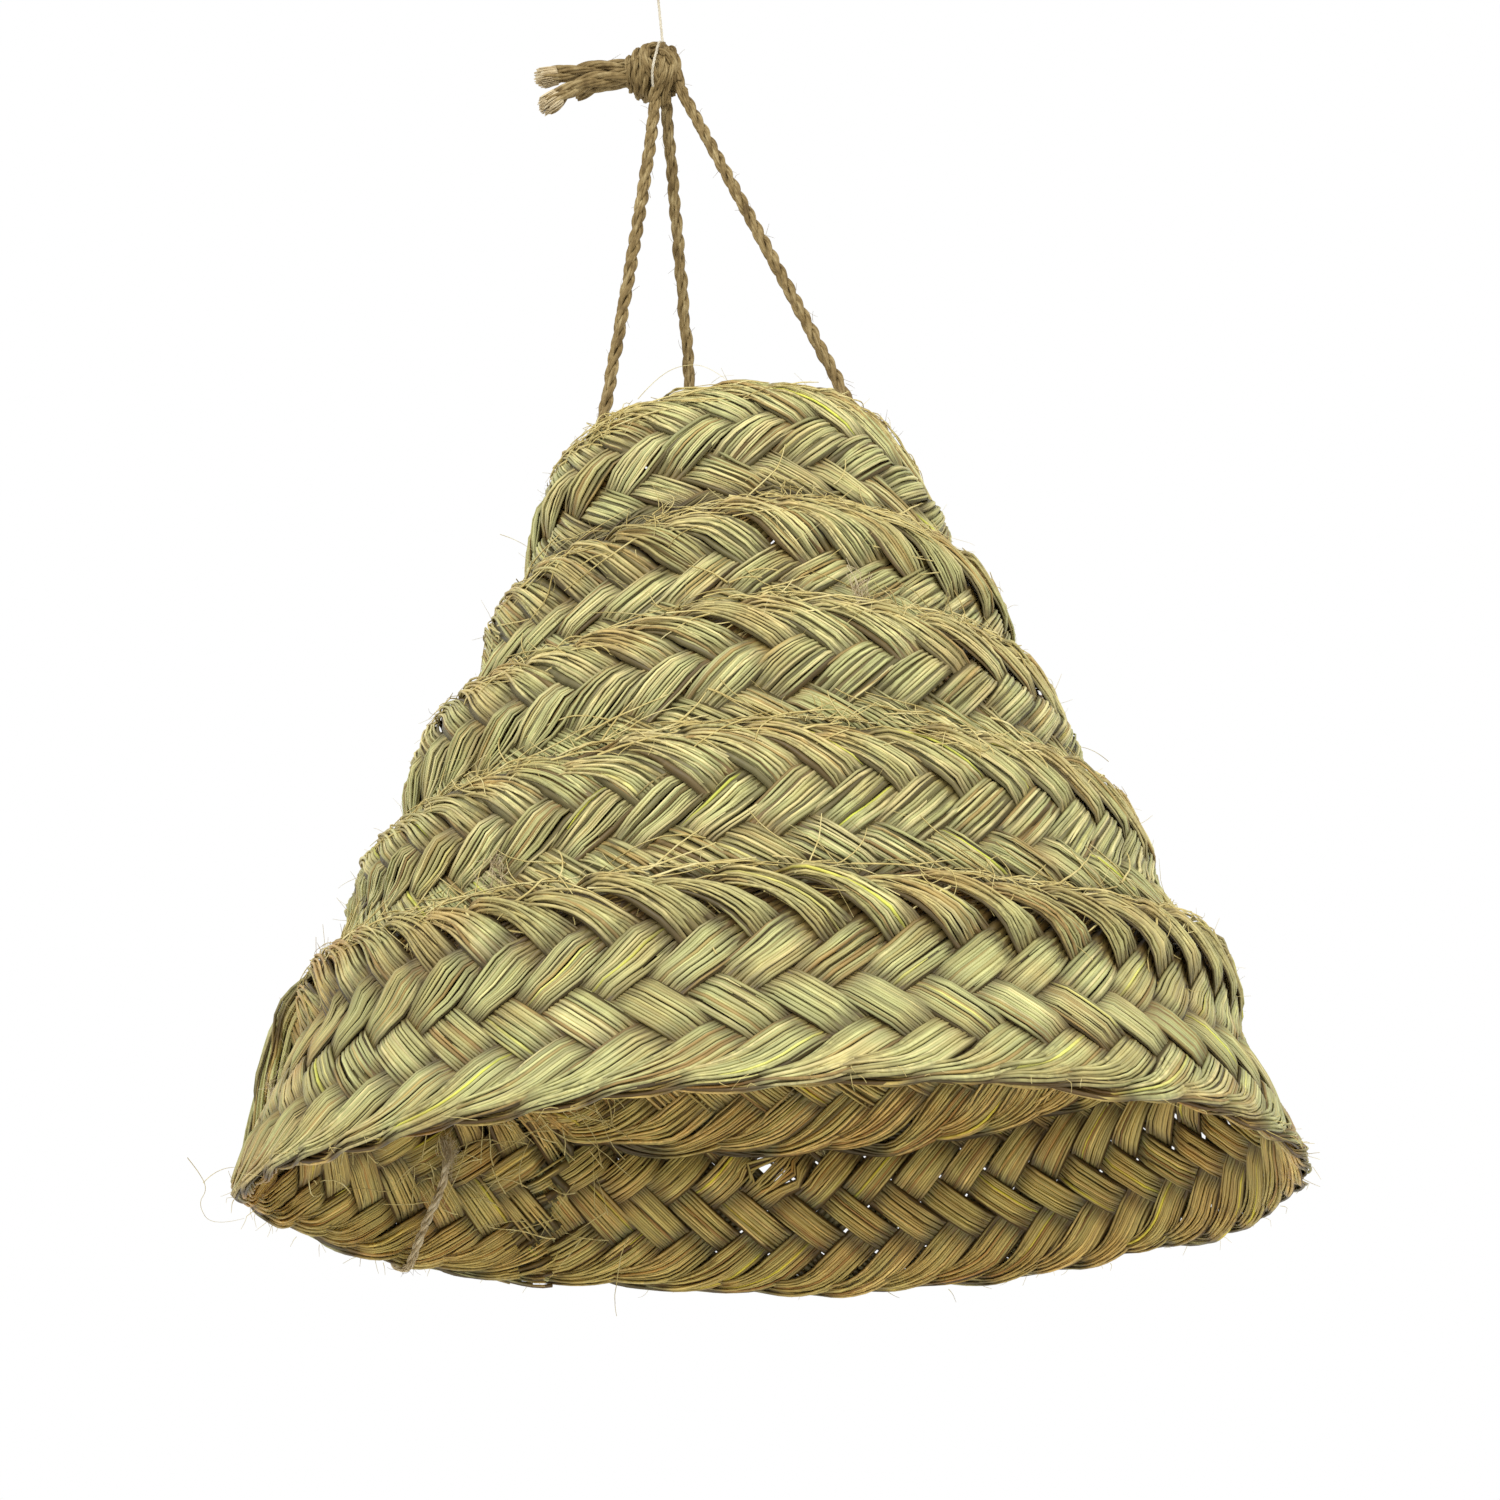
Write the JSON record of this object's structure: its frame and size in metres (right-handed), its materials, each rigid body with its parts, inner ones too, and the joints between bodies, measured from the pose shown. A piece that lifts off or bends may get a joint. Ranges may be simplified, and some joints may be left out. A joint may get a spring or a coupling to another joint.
{
  "type": "woven grass pendant lampshade",
  "caption": "Tapered pendant lampshade of braided esparto grass wound in lapped turns, hung by jute cords gathered in a knot on a thin line.",
  "frame": {"origin": "where a hook bears in the thin line's loop, at the top", "axes": "+Z plumb upward along the thin line, +X to the right and +Y away from a viewer of the side where the first lap is tied at the left"},
  "size_m": [0.4015, 0.3999, 0.5942],
  "materials": {
    "esparto_braid": "matt dried grass",
    "sewing_cord": "matt plaited grass cord",
    "jute_twine": "matt jute",
    "jute_cord": "matt hairy jute",
    "thin_line": "matt thin twine"
  },
  "bodies": {
    "loop": {"hang_loop": "thin_line"},
    "loop_knot": {"loop_knot": "thin_line"},
    "line": {"hang_line": "thin_line"},
    "shade": {"braid_turn_1": "esparto_braid", "braid_turn_2": "esparto_braid", "braid_turn_3": "esparto_braid", "braid_turn_4": "esparto_braid", "braid_turn_5": "esparto_braid", "cord_tail_lower": "jute_cord", "cord_tail_rear": "jute_cord", "cord_tail_upper": "jute_cord", "gathering_knot": "jute_cord", "hanging_cord_back": "jute_cord", "hanging_cord_left": "jute_cord", "hanging_cord_right": "jute_cord", "line_tie": "thin_line", "rim_tie": "jute_twine", "rim_tie_knot": "jute_twine", "seam_cord_1": "sewing_cord", "seam_cord_2": "sewing_cord", "seam_cord_3": "sewing_cord", "seam_cord_4": "sewing_cord", "stopper_knot_back": "jute_cord", "stopper_knot_left": "jute_cord", "stopper_knot_right": "jute_cord", "strip_rise": "esparto_braid"}
  },
  "joints": [
    {"name": "swing_front_back", "type": "hinge", "parent": "loop", "child": "loop_knot", "pos_m": [0, 0, -0.0118], "axis": [1, 0, 0], "range_deg": [-35, 35]},
    {"name": "swing_sideways", "type": "hinge", "parent": "loop_knot", "child": "line", "pos_m": [0, 0, -0.0118], "axis": [0, 1, 0], "range_deg": [-35, 35]},
    {"name": "turn", "type": "hinge", "parent": "line", "child": "shade", "pos_m": [0, 0, -0.044], "axis": [0, 0, 1], "continuous": true}
  ]
}
